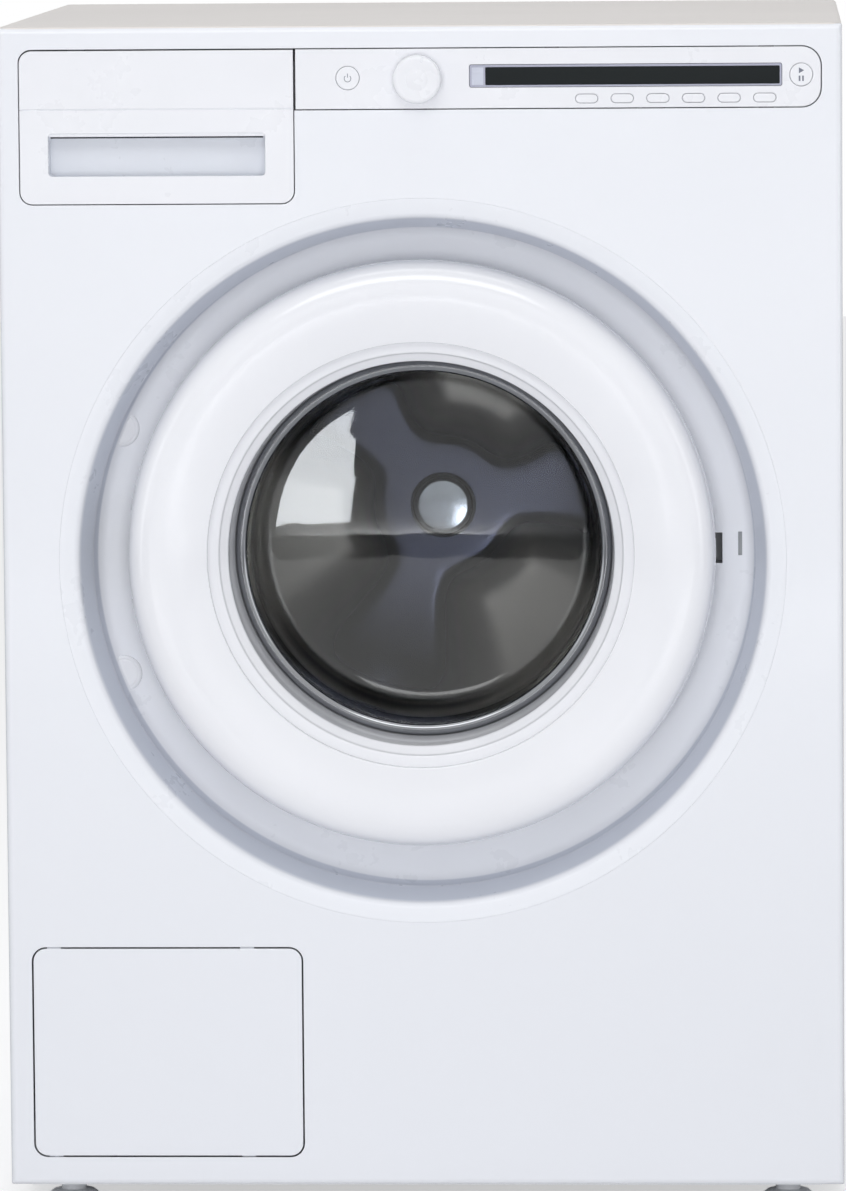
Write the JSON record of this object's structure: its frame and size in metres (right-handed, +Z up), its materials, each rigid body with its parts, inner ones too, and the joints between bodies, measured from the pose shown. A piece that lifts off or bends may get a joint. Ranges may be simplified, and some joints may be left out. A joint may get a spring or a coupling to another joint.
{
  "type": "front-loading washing machine",
  "caption": "Freestanding front-loading washing machine: round glass door, sprung tub with belt-driven drum, dispenser drawer, program knob, buttons and pump hatch.",
  "frame": {"origin": "centre of the bounding box's base, on the floor", "axes": "+Z up, the door faces -Y, +X to the right seen from the front"},
  "size_m": [0.595, 0.585, 0.85],
  "materials": {
    "white_paint": "gloss",
    "white_plastic": "gloss",
    "top_laminate": "satin",
    "zinc_sheet": "satin",
    "drum_steel": "satin",
    "cast_alloy": "matte",
    "weight_block": "matte",
    "grey_plastic": "matte",
    "black_plastic": "matte",
    "seal_rubber": "matte",
    "dark_window": "gloss",
    "clear_glass": "polished",
    "heater_tube": "satin"
  },
  "bodies": {
    "cabinet": {"base_tray": "grey_plastic", "side_panel_left": "white_paint", "side_panel_right": "white_paint", "rear_panel": "zinc_sheet", "worktop": "top_laminate", "front_panel": "white_paint", "door_recess_ring": "white_plastic", "control_fascia": "white_plastic", "display_lens": "dark_window", "display_module": "black_plastic", "dispenser_housing": "grey_plastic", "inlet_valve": "white_plastic", "mains_gland": "black_plastic", "door_lock": "grey_plastic", "door_hinge_bracket": "zinc_sheet", "drain_pump": "grey_plastic", "damper_cylinder_left": "grey_plastic", "damper_cylinder_right": "grey_plastic"},
    "tub": {"tub_front": "grey_plastic", "tub_rear": "grey_plastic", "bearing_front": "drum_steel", "bearing_rear": "drum_steel", "heater": "heater_tube", "counterweight": "weight_block", "motor": "cast_alloy", "door_seal": "seal_rubber", "drive_belt": "seal_rubber", "sump_hose": "seal_rubber", "damper_rod_left": "drum_steel", "damper_rod_right": "drum_steel"},
    "drum": {"drum_shell": "drum_steel", "drum_back": "drum_steel", "drum_spider": "cast_alloy", "hub_cap": "drum_steel", "drum_pulley": "cast_alloy"},
    "motor_rotor": {"motor_pulley": "drum_steel"},
    "door": {"door_ring": "white_plastic", "door_funnel": "white_plastic", "door_back": "white_plastic", "door_trim_ring": "drum_steel", "door_glass": "clear_glass", "door_hinge_arm": "cast_alloy", "latch_hook": "drum_steel"},
    "drawer": {"drawer_front": "white_plastic", "drawer_tray": "grey_plastic"},
    "knob": {"program_knob": "white_plastic"},
    "power_key": {"power_button": "white_plastic"},
    "start_key": {"start_button": "white_plastic"},
    "hatch": {"pump_hatch": "white_plastic"},
    "filter": {"filter_plug": "black_plastic"},
    "option_key_1": {"option_button_1": "white_plastic"},
    "option_key_2": {"option_button_2": "white_plastic"},
    "option_key_3": {"option_button_3": "white_plastic"},
    "option_key_4": {"option_button_4": "white_plastic"},
    "option_key_5": {"option_button_5": "white_plastic"},
    "option_key_6": {"option_button_6": "white_plastic"},
    "front_left_foot": {"foot_front_left": "black_plastic"},
    "front_right_foot": {"foot_front_right": "black_plastic"},
    "rear_left_foot": {"foot_rear_left": "black_plastic"},
    "rear_right_foot": {"foot_rear_right": "black_plastic"}
  },
  "joints": [
    {"name": "tub_bounce", "type": "slide", "parent": "cabinet", "child": "tub", "axis": [0, 0, 1], "range_m": [-0.008, 0.008], "stiffness_N_per_m": 25000, "springref_m": 0.01334, "deforming": ["sump_hose"]},
    {"name": "drum_spin", "type": "hinge", "parent": "tub", "child": "drum", "pos_m": [-0.0015, 0, 0.4745], "axis": [0, 1, 0], "continuous": true},
    {"name": "motor_spin", "type": "hinge", "parent": "tub", "child": "motor_rotor", "pos_m": [0.092, 0.2, 0.152], "axis": [0, 1, 0], "continuous": true},
    {"name": "door_hinge", "type": "hinge", "parent": "cabinet", "child": "door", "pos_m": [-0.2005, -0.2585, 0.4745], "axis": [0, 0, -1], "range_deg": [0, 105]},
    {"name": "drawer_slide", "type": "slide", "parent": "cabinet", "child": "drawer", "axis": [0, -1, 0], "range_m": [0, 0.18]},
    {"name": "knob_turn", "type": "hinge", "parent": "cabinet", "child": "knob", "pos_m": [-0.0006, -0.2765, 0.8121], "axis": [0, 1, 0], "continuous": true},
    {"name": "hatch_swing", "type": "hinge", "parent": "cabinet", "child": "hatch", "pos_m": [-0.265, -0.272, 0.12], "axis": [0, 0, -1], "range_deg": [0, 100]},
    {"name": "filter_turn", "type": "hinge", "parent": "cabinet", "child": "filter", "pos_m": [-0.178, -0.23, 0.104], "axis": [0, -1, 0], "range_deg": [0, 270]},
    {"name": "power_press", "type": "slide", "parent": "cabinet", "child": "power_key", "axis": [0, 1, 0], "range_m": [0, 0.0015], "stiffness_N_per_m": 600, "springref_m": -0.0008},
    {"name": "start_press", "type": "slide", "parent": "cabinet", "child": "start_key", "axis": [0, 1, 0], "range_m": [0, 0.0015], "stiffness_N_per_m": 600, "springref_m": -0.0008},
    {"name": "option_1_press", "type": "slide", "parent": "cabinet", "child": "option_key_1", "axis": [0, 1, 0], "range_m": [0, 0.0015], "stiffness_N_per_m": 600, "springref_m": -0.0008},
    {"name": "option_2_press", "type": "slide", "parent": "cabinet", "child": "option_key_2", "axis": [0, 1, 0], "range_m": [0, 0.0015], "stiffness_N_per_m": 600, "springref_m": -0.0008},
    {"name": "option_3_press", "type": "slide", "parent": "cabinet", "child": "option_key_3", "axis": [0, 1, 0], "range_m": [0, 0.0015], "stiffness_N_per_m": 600, "springref_m": -0.0008},
    {"name": "option_4_press", "type": "slide", "parent": "cabinet", "child": "option_key_4", "axis": [0, 1, 0], "range_m": [0, 0.0015], "stiffness_N_per_m": 600, "springref_m": -0.0008},
    {"name": "option_5_press", "type": "slide", "parent": "cabinet", "child": "option_key_5", "axis": [0, 1, 0], "range_m": [0, 0.0015], "stiffness_N_per_m": 600, "springref_m": -0.0008},
    {"name": "option_6_press", "type": "slide", "parent": "cabinet", "child": "option_key_6", "axis": [0, 1, 0], "range_m": [0, 0.0015], "stiffness_N_per_m": 600, "springref_m": -0.0008},
    {"name": "front_left_foot_screw", "type": "slide", "parent": "cabinet", "child": "front_left_foot", "axis": [0, 0, -1], "range_m": [0, 0.015]},
    {"name": "front_right_foot_screw", "type": "slide", "parent": "cabinet", "child": "front_right_foot", "axis": [0, 0, -1], "range_m": [0, 0.015]},
    {"name": "rear_left_foot_screw", "type": "slide", "parent": "cabinet", "child": "rear_left_foot", "axis": [0, 0, -1], "range_m": [0, 0.015]},
    {"name": "rear_right_foot_screw", "type": "slide", "parent": "cabinet", "child": "rear_right_foot", "axis": [0, 0, -1], "range_m": [0, 0.015]}
  ],
  "couplings": [
    {"joint": "motor_spin", "follows": "drum_spin", "ratio": 12}
  ]
}
